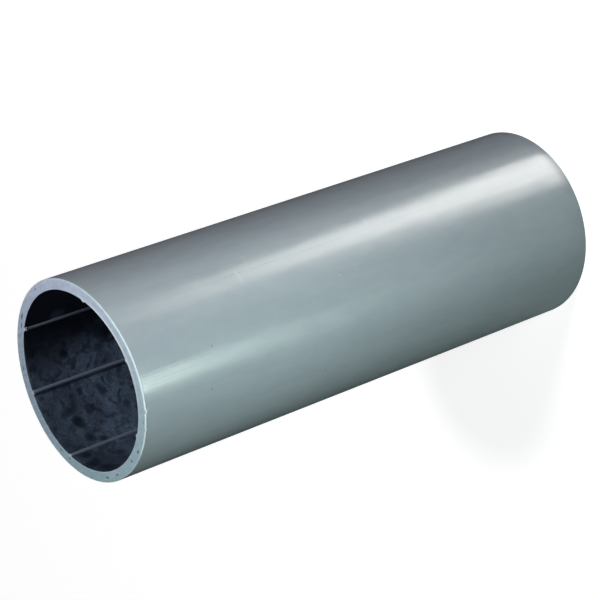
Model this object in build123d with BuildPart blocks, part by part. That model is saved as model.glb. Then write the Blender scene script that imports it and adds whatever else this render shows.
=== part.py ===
from build123d import *
import os

# Spacer sleeve: one length of rigid grey PVC tube, sawn square at both ends.  A tie rod
# runs through the bore and the two cut ends hold the faces on either side apart.  The
# extrusion die leaves fine ribs along the bore, in two sets of three, a set on each side.
# The sleeve stands on one cut end.  The origin is the middle of that end and +Z is the
# axis.  Lengths are in millimetres and angles in degrees.

# Driving dimensions
outer_diameter = 25.0
wall = 1.35
length = 72.65
arris_radius = 0.15  # the saw leaves the outer edge of each end very slightly rounded
rib_width = 0.5
rib_height = 0.2
rib_root_depth = 0.5  # how far a rib's own outline runs back into the wall

# Places of the ribs round the bore, from +X, counter-clockwise seen from above.  The die
# doesn't pitch them quite evenly: 43 to 49 degrees apart in a set, and none at either end
# of the X axis.
back_rib_angles = (44.6, 87.2, 135.9)
front_rib_angles = (223.0, 271.7, 319.1)

# Sizes that follow from them
outer_radius = outer_diameter / 2
bore_radius = outer_radius - wall
rib_outline_length = rib_height + rib_root_depth
rib_outline_centre = bore_radius - rib_height + rib_outline_length / 2

os.makedirs("parts", exist_ok=True)

with BuildPart() as sleeve:
    # The die's opening: a ring whose inner edge carries the ribs, each with a full-round tip
    with BuildSketch(Plane.XY):
        Circle(outer_radius)
        Circle(bore_radius, mode=Mode.SUBTRACT)
        for rib_angle in back_rib_angles + front_rib_angles:
            with PolarLocations(rib_outline_centre, 1, start_angle=rib_angle):
                SlotOverall(rib_outline_length, rib_width)
    extrude(amount=length)

    # The outer edge of each sawn end; the bore's edges stay as sharp as the saw left them
    outer_edges = sleeve.edges().filter_by(GeomType.CIRCLE).filter_by(
        lambda edge: abs(edge.radius - outer_radius) < arris_radius
    )
    fillet(outer_edges, radius=arris_radius)

sleeve.part.label = "sleeve"
export_step(sleeve.part, "parts/sleeve.step")
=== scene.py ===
import math

import bmesh
import bpy
from mathutils import Matrix, Vector, noise


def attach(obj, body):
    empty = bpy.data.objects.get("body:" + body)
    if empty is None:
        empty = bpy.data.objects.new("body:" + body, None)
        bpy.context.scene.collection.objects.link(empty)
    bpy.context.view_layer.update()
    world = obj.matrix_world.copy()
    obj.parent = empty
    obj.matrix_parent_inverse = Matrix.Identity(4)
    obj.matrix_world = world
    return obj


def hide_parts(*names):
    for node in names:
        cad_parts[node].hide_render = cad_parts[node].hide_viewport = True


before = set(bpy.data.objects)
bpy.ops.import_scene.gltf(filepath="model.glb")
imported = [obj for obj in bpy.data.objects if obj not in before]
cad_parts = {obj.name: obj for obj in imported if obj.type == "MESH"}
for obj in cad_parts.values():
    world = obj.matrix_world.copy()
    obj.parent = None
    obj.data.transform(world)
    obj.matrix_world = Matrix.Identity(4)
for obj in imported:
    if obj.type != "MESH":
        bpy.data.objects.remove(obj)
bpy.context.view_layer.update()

# ---------------------------------------------------------------------------------------
# The sleeve: one length of rigid grey PVC tube, pushed through a die that leaves six fine
# ribs along the bore, and sawn off.  It stands on its square end.  The upper cut ran a
# little under a degree out of true, in a slight saddle, and was left as the blade left it.
OUTER_RADIUS = 0.0125
BORE_RADIUS = 0.01115
LENGTH = 0.07265
OUTER_ARRIS = 0.00015
BORE_ARRIS = 0.00004
RIB_WIDTH = 0.0005
RIB_HEIGHT = 0.0002
RIB_PLACES = (44.6, 87.2, 135.9, 223.0, 271.7, 319.1)  # round the bore from +X, in degrees
RIB_ROOT = 0.00042  # how far from its middle a rib flares into the wall
RIB_FLARE = 0.00008  # how high the flare would stand at the rib's middle
RIB_ZONE = 2.4  # how far each side of a rib the mesh is fine, in degrees
FINE_STEP = 0.15  # the mesh's steps round the tube there, in degrees
WIDE_STEP = 0.5  # and between the ribs
CUT_RISE = 0.000211  # the upper cut's rise and fall across the outer diameter
CUT_HIGH_SIDE = 15.8
CUT_SADDLE = 0.000114  # and its rise and fall twice round
SADDLE_HIGH_SIDE = 334.6
CUT_DROP = 0.00032  # how far its middle is below the full length
CUT_START = 0.060  # the height from which the wall is drawn down to the cut
TOUCHING = 2e-6  # nearer than this counts as lying on a surface


def between(angle, place):
    """The way from a place round the tube to an angle, in degrees, the short way."""
    return (angle - place + 180.0) % 360.0 - 180.0


def swell(angle, place, reach):
    """One at a place round the tube, falling smoothly to nothing at its reach."""
    away = between(angle, place) / reach
    return max(0.0, 1.0 - away * away) ** 2


tube = bmesh.new()

# The wall's section on the +X side, its corners rounded, left as a bare outline
corners = [
    tube.verts.new((x, 0.0, z))
    for x, z in ((BORE_RADIUS, 0.0), (OUTER_RADIUS, 0.0), (OUTER_RADIUS, LENGTH), (BORE_RADIUS, LENGTH))
]
tube.faces.new(corners)
for wall_radius, arris, steps in ((OUTER_RADIUS, OUTER_ARRIS, 4), (BORE_RADIUS, BORE_ARRIS, 2)):
    bmesh.ops.bevel(
        tube, geom=[v for v in tube.verts if abs(v.co.x - wall_radius) < TOUCHING],
        offset=arris, offset_type="OFFSET", affect="VERTICES", segments=steps, profile=0.5, material=-1,
    )
bmesh.ops.delete(tube, geom=tube.faces[:], context="FACES_ONLY")

# Rings up the wall, close together near the sawn end where the small damage is
RING_HEIGHTS = (
    0.002, 0.01, 0.02, 0.03, 0.04, 0.05, 0.058, 0.064, 0.068, 0.070, 0.0712, 0.0717, 0.0720, 0.0722
)
for height in RING_HEIGHTS:
    bmesh.ops.bisect_plane(
        tube, geom=tube.verts[:] + tube.edges[:], plane_co=(0, 0, height), plane_no=(0, 0, 1), dist=1e-9
    )

# Rings across the two end faces, most on the upper one, which has the pits
for height, cuts in ((0.0, 1), (LENGTH, 11)):
    across = [e for e in tube.edges if all(abs(v.co.z - height) < TOUCHING for v in e.verts)]
    bmesh.ops.subdivide_edges(tube, edges=across, cuts=cuts)

# Swept round the axis in stretches, each with its end and its step, fine past each rib
stretches = [(0.0, WIDE_STEP)]
for place in RIB_PLACES:
    stretches += [(place - RIB_ZONE, WIDE_STEP), (place + RIB_ZONE, FINE_STEP)]
stretches += [(360.0, WIDE_STEP)]
rim = tube.edges[:] + tube.verts[:]
for (start, _), (stop, step) in zip(stretches, stretches[1:]):
    swept = bmesh.ops.spin(
        tube, geom=rim, cent=(0, 0, 0), axis=(0, 0, 1), angle=math.radians(stop - start),
        steps=round((stop - start) / step), use_merge=False, use_duplicate=False,
    )
    rim = swept["geom_last"]
bmesh.ops.remove_doubles(tube, verts=tube.verts[:], dist=TOUCHING)
bmesh.ops.recalc_face_normals(tube, faces=tube.faces[:])

# Which faces are the skin, the sawn ends and the bore, while the shape is still true; the
# numbers follow the order in which the finishes are made below
SKIN, SAWN, BORE = 0, 1, 2
for face in tube.faces:
    middle = face.calc_center_median()
    radius = math.hypot(middle.x, middle.y)
    if BORE_ARRIS < middle.z < LENGTH - BORE_ARRIS and radius < BORE_RADIUS + TOUCHING:
        face.material_index = BORE
    elif OUTER_ARRIS < middle.z < LENGTH - OUTER_ARRIS and radius > OUTER_RADIUS - TOUCHING:
        face.material_index = SKIN
    else:
        face.material_index = SAWN
    face.smooth = True

# The pits that the blade tore in the upper cut: place, share of the outer radius, half
# length and half width in mm
PITS = (
    (235.0, 0.965, 0.20, 0.07), (214.0, 0.958, 0.30, 0.12), (204.0, 0.940, 0.19, 0.13),
    (184.0, 0.945, 0.22, 0.12), (173.0, 0.950, 0.32, 0.11), (136.0, 0.932, 0.18, 0.10),
    (127.0, 0.930, 0.26, 0.10), (72.0, 0.945, 0.30, 0.07), (51.0, 0.950, 0.34, 0.08),
    (43.0, 0.935, 0.40, 0.09), (37.0, 0.950, 0.55, 0.11), (9.0, 0.960, 0.22, 0.06),
)
PIT_SPREAD = 0.0013  # from mm to metres, as a pit runs out at 1.3 times its size
PIT_DEPTH = 0.00006

# The burrs left on the outer edge: place, reach to each side in degrees, how far it
# stands out in metres, and how lumpy it is
BURRS = ((242.2, 1.5, 0.00032, 0.2), (231.4, 1.4, 0.00014, 0.0))
TORN_DEPTH = 0.0004  # how far below the upper end its edges are torn
OUTER_TEAR = 0.00003
BORE_FEATHER = 0.00006
PAINTED_HIGHLIGHT_STRIP = 0.00045  # how far the painted highlight beside the bore's edge spreads over the cut
pitted = tube.verts.layers.float.new("pitted")
whitening_and_highlight = tube.verts.layers.float.new("whitening_and_highlight")

for point in tube.verts:
    x, y, z = point.co
    radius = math.hypot(x, y)
    angle = math.degrees(math.atan2(y, x)) % 360.0
    outward = Vector((x, y, 0.0)) / radius
    grain = noise.noise(Vector((x, y, z)) * 9000.0)
    coarse = noise.noise(Vector((x, y, z)) * 2500.0)
    from_end = min(z, LENGTH - z)
    push = 0.0
    lift = 0.0
    if radius < BORE_RADIUS + TOUCHING:
        # the ribs, with full round tips and flared roots
        for place in RIB_PLACES:
            off = BORE_RADIUS * math.radians(abs(between(angle, place)))
            if off < RIB_ROOT:
                crown = math.sqrt(max(0.0, (RIB_WIDTH / 2) ** 2 - off ** 2)) + RIB_HEIGHT - RIB_WIDTH / 2
                push -= max(0.0, crown, RIB_FLARE * (1.0 - off / RIB_ROOT) ** 2)
    # both ends' edges get some whitening all round and a painted highlight towards the camera's side, and
    # a painted highlight strip lies beside the inner edge
    if from_end < OUTER_ARRIS * 0.9 and radius > OUTER_RADIUS - OUTER_ARRIS * 0.9:
        point[whitening_and_highlight] = 0.35 + 0.5 * swell(angle, 250.0, 75.0)
    if from_end < BORE_ARRIS * 1.1 and radius < BORE_RADIUS + BORE_ARRIS * 1.1:
        point[whitening_and_highlight] = 0.2 + 0.6 * swell(angle, 282.0, 60.0)
    elif from_end < BORE_ARRIS and radius < BORE_RADIUS + PAINTED_HIGHLIGHT_STRIP:
        fading = (1.0 - (radius - BORE_RADIUS) / PAINTED_HIGHLIGHT_STRIP) ** 0.5
        point[whitening_and_highlight] = 0.95 * swell(angle, 284.0, 60.0) * fading
    if z > CUT_START:
        # the cut's slope, taken up over the last of the length
        taken_up = min(1.0, (z - CUT_START) / (LENGTH - CUT_START))
        slope = CUT_RISE * radius / OUTER_RADIUS * math.cos(math.radians(angle - CUT_HIGH_SIDE))
        slope += CUT_SADDLE * math.cos(math.radians(2.0 * (angle - SADDLE_HIGH_SIDE)))
        lift += taken_up * (slope - CUT_DROP)
    if z > LENGTH - TORN_DEPTH:
        near_top = 1.0 - (LENGTH - z) / TORN_DEPTH
        if radius > OUTER_RADIUS - 0.0002:
            for place, reach, height, lumpy in BURRS:
                push += near_top * height * swell(angle, place, reach) * (1.0 + lumpy * grain)
            push -= near_top * OUTER_TEAR * abs(coarse)
        if radius < BORE_RADIUS + 0.0001:
            # the bore's edge is feathered, most at two places on the far side
            feather = 0.2 + 0.8 * max(swell(angle, 77.0, 22.0), swell(angle, 17.0, 16.0))
            push -= near_top * BORE_FEATHER * feather * max(0.0, coarse + 0.5 * grain)
    if z > LENGTH - TOUCHING:
        for place, share, half_length, half_width in PITS:
            along = OUTER_RADIUS * math.radians(between(angle, place)) / (half_length * PIT_SPREAD)
            across = (radius - share * OUTER_RADIUS) / (half_width * PIT_SPREAD)
            sunk = max(0.0, 1.0 - along * along - across * across)
            lift -= PIT_DEPTH * sunk
            point[pitted] = max(point[pitted], min(1.0, 1.6 * sunk))
    point.co += outward * push + Vector((0.0, 0.0, lift))

# Crumbs of swarf still hanging on the bore's edge: place, radius, depth below the full
# length, and half sizes along the wall, towards the axis and down, all in mm
SWARF = (
    (43.4, 11.02, 0.30, 0.09, 0.17, 0.09), (42.4, 10.96, 0.40, 0.12, 0.08, 0.07),
    (44.4, 10.94, 0.52, 0.06, 0.10, 0.09), (320.1, 11.12, 0.12, 0.12, 0.07, 0.08),
)
for place, radius, depth, along, inward, down in SWARF:
    turn = Matrix.Rotation(math.radians(place), 4, "Z")
    seat = turn @ Matrix.Translation((radius * 0.001, 0.0, LENGTH - depth * 0.001))
    crumb = bmesh.ops.create_icosphere(
        tube, subdivisions=3, radius=0.001, matrix=seat @ Matrix.Diagonal((inward, along, down, 1.0))
    )
    for point in crumb["verts"]:
        point.co += (point.co - seat.translation) * 0.4 * noise.noise(point.co * 8000.0)
        point[whitening_and_highlight] = 0.2
        for face in point.link_faces:
            face.material_index = SAWN
            face.smooth = True

# A fold of this much or more shows as a crisp edge
CRISP_FOLD = math.radians(38)
for edge in tube.edges:
    edge.smooth = edge.calc_face_angle(0.0) < CRISP_FOLD

sleeve_mesh = bpy.data.meshes.new("sleeve_tube")
tube.to_mesh(sleeve_mesh)
tube.free()
sleeve_tube = bpy.data.objects.new("sleeve_tube", sleeve_mesh)
bpy.context.scene.collection.objects.link(sleeve_tube)


def add(tree, kind, **settings):
    """A new shader node of a kind, with its settings made."""
    made = tree.nodes.new("ShaderNode" + kind)
    for key, value in settings.items():
        setattr(made, key, value)
    return made


def fill(made, **values):
    """Fill or link sockets, by name with an underscore for each space, or by number as _0."""
    for key, value in values.items():
        socket = made.inputs[int(key[1:])] if key[1:].isdigit() else made.inputs[key.replace("_", " ")]
        if isinstance(value, bpy.types.NodeSocket):
            made.id_data.links.new(value, socket)
        else:
            socket.default_value = value
    return made


def remap(tree, value, low, high, to_low, to_high):
    """A value between two levels, brought smoothly to between two others and held there."""
    made = add(tree, "MapRange", interpolation_type="SMOOTHSTEP")
    fill(made, Value=value, From_Min=low, From_Max=high, To_Min=to_low, To_Max=to_high)
    return made.outputs["Result"]


def blend_colour(tree, share, one, other):
    """One colour where the share is 0 and the other where it is 1."""
    made = add(tree, "Mix", data_type="RGBA")
    return fill(made, _0=share, _6=one, _7=other).outputs[2]


def effect(name, inputs, output):
    """An empty group that takes a position and some values and gives one value."""
    group = bpy.data.node_groups.new(name, "ShaderNodeTree")
    group.interface.new_socket("Position", in_out="INPUT", socket_type="NodeSocketVector")
    for label in inputs:
        group.interface.new_socket(label, in_out="INPUT", socket_type="NodeSocketFloat")
    group.interface.new_socket(output, in_out="OUTPUT", socket_type="NodeSocketFloat")
    return group, group.nodes.new("NodeGroupInput"), group.nodes.new("NodeGroupOutput")


# Die lines: the fine lines that the die draws along the tube, here and there stronger
die_lines, taken, given = effect("die_lines", ("Scale", "Run"), "Lines")
drawn = fill(add(die_lines, "CombineXYZ"), X=1.0, Y=1.0, Z=taken.outputs["Run"])
stretched = fill(
    add(die_lines, "VectorMath", operation="MULTIPLY"), _0=taken.outputs["Position"], _1=drawn.outputs[0]
)
lines = fill(
    add(die_lines, "TexNoise"), Vector=stretched.outputs[0], Scale=taken.outputs["Scale"],
    Detail=2.0, Roughness=0.6,
)
fill(given, Lines=remap(die_lines, lines.outputs["Fac"], 0.2, 0.8, 0.0, 1.0))

# Handling haze: soft cloudy patches, drawn out into wisps where Wisp is above 0
haze, taken, given = effect("haze", ("Scale", "Detail", "Wisp"), "Haze")
cloud = fill(
    add(haze, "TexNoise"), Vector=taken.outputs["Position"], Scale=taken.outputs["Scale"],
    Detail=taken.outputs["Detail"], Roughness=0.5, Distortion=taken.outputs["Wisp"],
)
fill(given, Haze=remap(haze, cloud.outputs["Fac"], 0.25, 0.75, 0.0, 1.0))


def use(tree, group, **values):
    """The effect placed in a finish with its own values."""
    made = add(tree, "Group", node_tree=group)
    return fill(made, **values).outputs[0]


PVC_IOR = 1.53


def grey_pvc(name, roughness):
    """A PVC finish to build on: its node tree, shader and position."""
    finish = bpy.data.materials.new(name)
    finish.use_nodes = True
    tree = finish.node_tree
    shader = tree.nodes["Principled BSDF"]
    fill(shader, Roughness=roughness, IOR=PVC_IOR)
    sleeve_mesh.materials.append(finish)
    return tree, shader, add(tree, "TexCoord").outputs["Object"]


# The skin, as it left the die: even grey with a low sheen, slightly wavy, with fine lines
# along its length, cloudy streaks, scored lines, rubs and a few specks
tree, shader, place = grey_pvc("grey_pvc_skin", 0.24)
fine = use(tree, die_lines, Position=place, Scale=700.0, Run=0.01)
broad = use(tree, die_lines, Position=place, Scale=260.0, Run=0.25)
clouds = use(tree, die_lines, Position=place, Scale=900.0, Run=0.4)
tone = blend_colour(tree, broad, (0.282, 0.324, 0.360, 1.0), (0.300, 0.345, 0.382, 1.0))
tone = blend_colour(tree, remap(tree, clouds, 0.0, 1.0, 0.0, 0.20), tone, (0.36, 0.41, 0.44, 1.0))
tone = blend_colour(tree, remap(tree, fine, 0.2, 1.0, 0.0, 0.06), tone, (0.22, 0.27, 0.30, 1.0))


def reach_towards(tree, place, direction):
    """How far a place lies from the axis in a direction."""
    made = fill(add(tree, "VectorMath", operation="DOT_PRODUCT"), _0=place, _1=direction)
    return made.outputs["Value"]


def height_of(tree, place):
    """How far a place is above the lower end."""
    return fill(add(tree, "SeparateXYZ"), Vector=place).outputs["Z"]


def reckon(tree, operation, *values):
    """The result of one step of arithmetic."""
    made = add(tree, "Math", operation=operation)
    return fill(made, **{f"_{number}": value for number, value in enumerate(values)}).outputs[0]


def along_wall(tree, place, angle, half_width, bottom, top):
    """A line along the wall between two heights, all in mm: 1 on the line, 0 away from it."""
    turn = math.radians(angle)
    aside = reach_towards(tree, place, (-math.sin(turn), math.cos(turn), 0.0))
    ahead = reach_towards(tree, place, (math.cos(turn), math.sin(turn), 0.0))
    height = height_of(tree, place)
    mask = remap(tree, reckon(tree, "ABSOLUTE", aside), 0.0, half_width * 0.001, 1.0, 0.0)
    for part in (
        remap(tree, ahead, 0.0, 0.001, 0.0, 1.0),
        remap(tree, height, bottom * 0.001, (bottom + 3.0) * 0.001, 0.0, 1.0),
        remap(tree, height, (top - 1.5) * 0.001, top * 0.001, 1.0, 0.0),
    ):
        mask = reckon(tree, "MULTIPLY", mask, part)
    return mask


def across_wall(tree, place, angle, half_width, height, half_height):
    """A short rub round the wall at a height, all in mm: 1 at its middle, 0 away from it."""
    level = reckon(tree, "SUBTRACT", height_of(tree, place), height * 0.001)
    near = remap(tree, reckon(tree, "ABSOLUTE", level), 0.0, half_height * 0.001, 1.0, 0.0)
    whole_length = along_wall(tree, place, angle, half_width, -10.0, 90.0)
    return reckon(tree, "MULTIPLY", whole_length, near)


def dab(tree, tone, place, angle, radius, height, size, share, colour):
    """The tone with a soft round dab of a colour on it, where the wall has that radius."""
    turn = math.radians(angle)
    spot = Vector((radius * math.cos(turn), radius * math.sin(turn), height * 0.001))
    away = fill(add(tree, "VectorMath", operation="DISTANCE"), _0=place, _1=spot).outputs["Value"]
    return blend_colour(tree, remap(tree, away, size * 0.0003, size * 0.0013, share, 0.0), tone, colour)


DIRT = (0.10, 0.12, 0.13, 1.0)
CHALKY = (0.50, 0.55, 0.60, 1.0)
SCORES = (
    # place round the skin, half width, bottom and top in mm, share
    (296.6, 0.13, 35.0, 57.0, 0.20), (296.6, 0.10, 16.0, 66.0, 0.10), (301.5, 0.10, 34.0, 64.0, 0.10),
    (295.2, 0.08, 38.0, 60.0, 0.14), (262.6, 0.07, 64.0, 74.0, 0.26), (260.4, 0.08, 60.0, 74.0, 0.26),
    (258.6, 0.06, 66.0, 74.0, 0.20), (256.9, 0.08, 63.0, 74.0, 0.26), (254.9, 0.06, 65.0, 74.0, 0.20),
    (252.8, 0.08, 62.0, 74.0, 0.16),
)
broken = remap(tree, use(tree, haze, Position=place, Scale=1600.0, Detail=1.0), 0.2, 0.7, 0.4, 1.0)
for angle, half_width, bottom, top, share in SCORES:
    line = along_wall(tree, place, angle, half_width, bottom, top)
    score = reckon(tree, "MULTIPLY", line, broken)
    tone = blend_colour(tree, remap(tree, score, 0.0, 1.0, 0.0, share), tone, DIRT)

SPECKS = (
    # place round the skin, height and size in mm, share, colour
    (263.6, 61.4, 0.15, 0.55, (0.10, 0.12, 0.14, 1.0)), (241.0, 62.4, 0.16, 0.55, DIRT),
    (225.6, 44.8, 0.15, 0.45, DIRT), (270.5, 12.6, 1.60, 0.10, (0.20, 0.22, 0.23, 1.0)),
    (276.2, 40.6, 0.13, 0.45, CHALKY), (278.8, 37.6, 0.12, 0.35, CHALKY),
    (277.4, 41.6, 0.10, 0.30, CHALKY), (283.6, 35.4, 0.10, 0.30, CHALKY),
)
for angle, height, size, share, colour in SPECKS:
    tone = dab(tree, tone, place, angle, OUTER_RADIUS, height, size, share, colour)

RUBS = (
    # place round the skin, half width, height and half height in mm, share
    (295.0, 1.9, 53.8, 0.50, 0.12), (304.5, 1.0, 51.6, 0.40, 0.10), (301.5, 1.1, 32.8, 0.40, 0.12),
)
for angle, half_width, height, half_height, share in RUBS:
    rub = across_wall(tree, place, angle, half_width, height, half_height)
    tone = blend_colour(tree, remap(tree, rub, 0.0, 1.0, 0.0, share), tone, CHALKY)
fill(shader, Base_Color=tone)
dulled = remap(tree, clouds, 0.0, 1.0, 0.20, 0.26)
lined = remap(tree, fine, 0.0, 1.0, -0.015, 0.015)
fill(shader, Roughness=reckon(tree, "ADD", dulled, lined))
wave = use(tree, die_lines, Position=place, Scale=330.0, Run=0.4)
waviness = fill(add(tree, "Bump"), Strength=1.0, Distance=0.000014, Height=wave)
ripple = fill(add(tree, "Bump"), Strength=0.5, Distance=0.000002, Height=fine, Normal=waviness.outputs[0])
fill(shader, Normal=ripple.outputs[0])

# The sawn ends: lighter and dull where the blade tore through, painted lighter on one side and more green
# on another as painted light, whitening along the edges with a painted highlight on the camera's side,
# and small pits darkened as painted shade
tree, shader, place = grey_pvc("sawn_pvc", 0.55)
saw_lines = add(tree, "Mapping")
fill(saw_lines, Vector=place, Rotation=(0.0, 0.0, 0.35), Scale=(1.0, 0.12, 1.0))
scratches = use(tree, haze, Position=saw_lines.outputs[0], Scale=2600.0, Detail=2.0)
mottle = use(tree, haze, Position=place, Scale=1400.0, Detail=2.0)
# painted light: the cut is painted lighter towards the lamps' side and more green towards the green side
# fill
reach_to_lit_side = reach_towards(tree, place, (0.62, -0.78, 0.0))
reach_to_green_lit_side = reach_towards(tree, place, (-0.77, -0.64, 0.0))
painted_light_share = remap(tree, reach_to_lit_side, -OUTER_RADIUS, OUTER_RADIUS, 0.0, 1.0)
tone = blend_colour(tree, painted_light_share, (0.270, 0.362, 0.450, 1.0), (0.478, 0.545, 0.690, 1.0))
painted_green_light_share = remap(tree, reach_to_green_lit_side, -OUTER_RADIUS, OUTER_RADIUS, 0.0, 0.5)
tone = blend_colour(tree, painted_green_light_share, tone, (0.40, 0.67, 0.67, 1.0))
tone = blend_colour(tree, remap(tree, mottle, 0.2, 0.9, 0.0, 0.26), tone, (0.25, 0.35, 0.43, 1.0))
tone = blend_colour(tree, remap(tree, scratches, 0.4, 1.0, 0.0, 0.26), tone, (0.56, 0.66, 0.74, 1.0))
# the edges' whitening, with a painted highlight where they face the camera's side
edge_whitening_and_highlight = add(tree, "Attribute", attribute_name="whitening_and_highlight")
tone = blend_colour(tree, edge_whitening_and_highlight.outputs["Fac"], tone, (0.78, 0.86, 0.90, 1.0))
# painted shade: the pits are darkened for the shade that falls in them
torn = add(tree, "Attribute", attribute_name="pitted")
painted_pit_shade = remap(tree, torn.outputs["Fac"], 0.0, 1.0, 0.0, 0.85)
tone = blend_colour(tree, painted_pit_shade, tone, (0.08, 0.09, 0.13, 1.0))
fill(shader, Base_Color=tone)
tear = fill(add(tree, "Bump"), Strength=0.35, Distance=0.00003, Height=scratches)
fill(shader, Normal=tear.outputs[0])

# The bore: left dull and smudged by the die's core, its tones set darker than the skin's grey as painted
# shade, one side painted near black as painted shade, darker towards the upper end, and its ribs lighter
# than the wall
tree, shader, place = grey_pvc("dull_bore", 0.42)
blotches = use(tree, haze, Position=place, Scale=620.0, Detail=4.0, Wisp=1.3)
patches = use(tree, haze, Position=place, Scale=300.0, Detail=2.0, Wisp=0.8)
grain = use(tree, haze, Position=place, Scale=3200.0, Detail=2.0)
height = height_of(tree, place)
# painted shade: the bore's tones are set darker than the skin's grey for the shade inside the tube, then
# mottled by blotches and grain
tone = blend_colour(tree, patches, (0.096, 0.140, 0.215, 1.0), (0.180, 0.265, 0.395, 1.0))
tone = blend_colour(tree, remap(tree, blotches, 0.0, 0.75, 0.78, 0.0), tone, (0.020, 0.026, 0.042, 1.0))
tone = blend_colour(tree, remap(tree, grain, 0.2, 0.8, 0.35, 0.0), tone, (0.015, 0.020, 0.034, 1.0))
# the bore is painted darker towards the upper end
by_the_end = remap(tree, height, LENGTH - 0.012, LENGTH, 0.0, 0.42)
tone = blend_colour(tree, by_the_end, tone, (0.020, 0.028, 0.042, 1.0))
# painted shade: the side of the bore that the lamps leave in shade is painted near black
reach_to_shaded_side = reach_towards(tree, place, (0.866, 0.5, 0.0))
painted_shade_share = remap(tree, reach_to_shaded_side, 0.66 * BORE_RADIUS, 0.98 * BORE_RADIUS, 0.0, 0.95)
tone = blend_colour(tree, painted_shade_share, tone, (0.0, 0.0, 0.004, 1.0))

DARK = (0.006, 0.008, 0.016, 1.0)
PALE = (0.16, 0.20, 0.27, 1.0)
SMUDGES = (
    # place round the bore, depth below the cut and size in mm, share, colour
    (114.0, 4.1, 0.8, 0.85, DARK), (107.2, 2.9, 0.7, 0.6, DARK), (70.1, 5.5, 0.8, 0.85, DARK),
    (65.0, 5.8, 0.5, 0.6, DARK), (64.7, 11.7, 1.4, 0.85, DARK), (73.6, 10.6, 0.8, 0.6, DARK),
    (54.8, 2.6, 0.8, 0.5, DARK), (62.1, 1.1, 0.8, 0.6, DARK), (72.5, 0.8, 0.7, 0.6, DARK),
    (127.9, 4.1, 0.9, 0.8, DARK), (132.0, 5.4, 0.6, 0.7, DARK), (140.6, 1.8, 0.9, 0.85, DARK),
    (151.2, 1.3, 1.1, 0.85, DARK), (162.0, 1.7, 1.1, 0.85, DARK), (102.0, 4.7, 0.5, 0.5, DARK),
    (108.5, 7.0, 0.5, 0.4, DARK), (114.2, 11.4, 0.6, 0.6, DARK), (96.6, 6.2, 0.5, 0.4, DARK),
    (150.0, 5.5, 0.7, 0.6, DARK), (172.0, 1.4, 2.2, 0.6, DARK), (160.0, 3.2, 3.0, 0.40, DARK),
    (148.0, 9.5, 2.6, 0.30, DARK), (40.6, 4.4, 0.9, 0.5, PALE), (40.8, 5.3, 0.6, 0.4, PALE),
)
CUT_LEVEL = LENGTH * 1000.0 - 0.3  # about the height of the cut, in mm
for angle, depth, size, share, colour in SMUDGES:
    tone = dab(tree, tone, place, angle, BORE_RADIUS, CUT_LEVEL - depth, size, share, colour)
painted_rib_shadow = along_wall(tree, place, 89.4, 0.20, -10.0, 80.0)  # a painted shadow along one side of a rib
tone = blend_colour(tree, remap(tree, painted_rib_shadow, 0.0, 1.0, 0.0, 0.8), tone, DARK)
# the ribs, found by standing in from the bore, are painted lighter than the wall
flat = fill(add(tree, "VectorMath", operation="MULTIPLY"), _0=place, _1=(1.0, 1.0, 0.0))
from_axis = fill(add(tree, "VectorMath", operation="LENGTH"), _0=flat.outputs[0]).outputs["Value"]
ribs_lighter = remap(tree, from_axis, BORE_RADIUS - 0.000008, BORE_RADIUS - 0.00006, 0.0, 1.0)
tone = blend_colour(tree, ribs_lighter, tone, (0.22, 0.28, 0.37, 1.0))
fill(shader, Base_Color=tone)

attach(sleeve_tube, "root")
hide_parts("sleeve")

# ---------------------------------------------------------------------------------------
# The studio: a white floor and a white surround.  Only the camera sees them, and lamps
# light the sleeve through them, so its sides stay as dark as the room about it.


def paper(name, glow, colour):
    """White paper that holds its own level and still takes a shadow."""
    finish = bpy.data.materials.new(name)
    finish.use_nodes = True
    shader = finish.node_tree.nodes["Principled BSDF"]
    fill(shader, Base_Color=(*colour, 1.0), Roughness=1.0, Specular_IOR_Level=0.0)
    fill(shader, Emission_Color=(1.0, 1.0, 1.0, 1.0), Emission_Strength=glow)
    return finish


ground = bmesh.new()
bmesh.ops.create_grid(ground, x_segments=1, y_segments=1, size=3.0)
floor_mesh = bpy.data.meshes.new("floor")
ground.to_mesh(floor_mesh)
ground.free()
floor = bpy.data.objects.new("floor", floor_mesh)
floor_mesh.materials.append(paper("floor_paper", 0.82, (0.45, 0.45, 0.45)))

dome = bmesh.new()
bmesh.ops.create_icosphere(dome, subdivisions=4, radius=2.9)
dome_mesh = bpy.data.meshes.new("surround")
dome.to_mesh(dome_mesh)
dome.free()
surround = bpy.data.objects.new("surround", dome_mesh)
dome_mesh.materials.append(paper("surround_paper", 1.0, (0.0, 0.0, 0.0)))

for paper_piece in (floor, surround):
    bpy.context.scene.collection.objects.link(paper_piece)
    paper_piece.visible_diffuse = False
    paper_piece.visible_glossy = False
    paper_piece.visible_transmission = False
    paper_piece.visible_shadow = False

room = bpy.data.worlds.new("room")
room.use_nodes = True
fill(room.node_tree.nodes["Background"], Color=(0.80, 0.85, 1.0, 1.0), Strength=0.025)
bpy.context.scene.world = room

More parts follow.
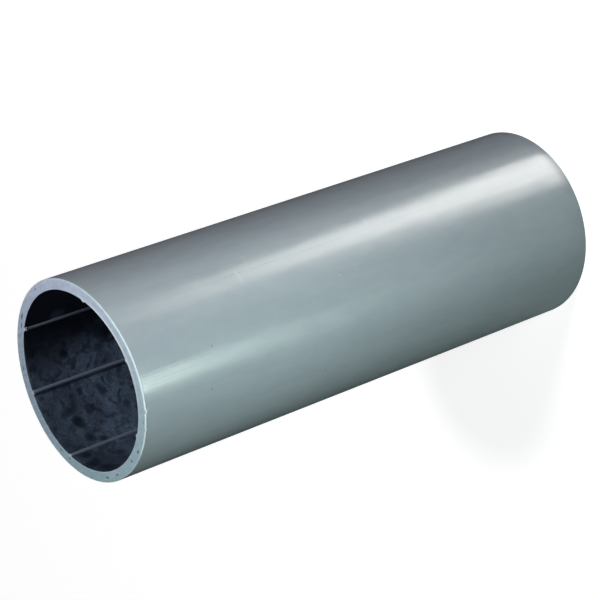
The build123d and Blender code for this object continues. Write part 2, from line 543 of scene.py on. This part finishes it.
# ---------------------------------------------------------------------------------------
# The lamps: soft boxes, each named for what it does and turned to the sleeve's middle.  A
# bearing of 0 is the camera's side, and it grows towards -X; the height is above the
# horizon, both in degrees.
AIM = Vector((0.0, 0.0, 0.036))
LAMPS = (
    # name, bearing, height, distance, width, length, watts, colour
    ("key", 11.0, 22.5, 0.080, 0.044, 0.019, 0.0328, (0.88, 1.0, 0.96)),
    ("streak_near", -50.0, -34.5, 0.70, 0.22, 0.06, 0.20, (1.0, 0.97, 0.93)),
    ("streak_mid", -52.5, -38.5, 0.70, 0.22, 0.08, 0.375, (1.0, 0.97, 0.93)),
    ("streak_far", -53.5, -42.5, 0.70, 0.285, 0.08, 0.32, (1.0, 0.97, 0.94)),
    ("streak_end", -51.5, -47.2, 0.70, 0.41, 0.10, 1.28, (1.0, 0.97, 0.94)),
    ("streak_soft", -54.0, -43.0, 0.70, 0.76, 0.22, 0.42, (1.0, 0.99, 0.99)),
    ("mint_lamp", 27.5, -26.0, 0.675, 0.19, 0.07, 0.94, (0.82, 1.0, 0.90)),
    ("side_fill", 48.0, 0.0, 0.30, 0.12, 0.12, 0.037, (0.90, 1.0, 0.75)),
    ("low_fill", -10.0, -15.0, 0.50, 0.30, 0.30, 0.04, (0.55, 0.6, 1.0)),
    ("rim_lamp", -48.0, 72.0, 0.0770, 0.012, 0.012, 0.0050, (1.0, 0.97, 0.97)),
    ("bore_lamp", -48.0, 72.0, 0.60, 0.06, 0.06, 1.7, (1.0, 0.98, 1.0)),
    ("end_fill", 98.0, -60.0, 0.0484, 0.010, 0.010, 0.0014, (0.90, 1.0, 0.90)),
    ("back_fill", 180.0, -8.0, 0.60, 0.40, 0.30, 1.6, (1.0, 1.0, 1.0)),
)
for name, bearing, height, distance, width, length, watts, colour in LAMPS:
    towards = Vector((
        -math.sin(math.radians(bearing)) * math.cos(math.radians(height)),
        -math.cos(math.radians(bearing)) * math.cos(math.radians(height)),
        math.sin(math.radians(height)),
    ))
    light = bpy.data.lights.new(name, "AREA")
    light.shape = "RECTANGLE"
    light.size = width
    light.size_y = length
    light.energy = watts
    light.color = colour
    lamp = bpy.data.objects.new(name, light)
    lamp.location = AIM + towards * distance
    lamp.rotation_euler = towards.to_track_quat("Z", "Y").to_euler()
    lamp.visible_camera = False
    lamp.visible_glossy = name != "end_fill"  # it is so near that the skin would mirror it
    bpy.context.scene.collection.objects.link(lamp)

# ---------------------------------------------------------------------------------------
# The camera: a long lens in front of the sleeve and above it, looking down on its upper
# end, and rolled so that the sleeve lies slantwise in the frame.
lens = bpy.data.cameras.new("camera")
lens.lens = 145.99
lens.sensor_width = 36.0
lens.clip_start = 0.01
lens.clip_end = 10.0
camera = bpy.data.objects.new("camera", lens)
camera.location = (0.0, -0.24509, 0.21705)
camera.rotation_euler = [math.radians(turn) for turn in (-24.8757, 49.5038, -121.4110)]
bpy.context.scene.collection.objects.link(camera)
bpy.context.scene.camera = camera

bpy.context.scene.view_settings.view_transform = "Standard"
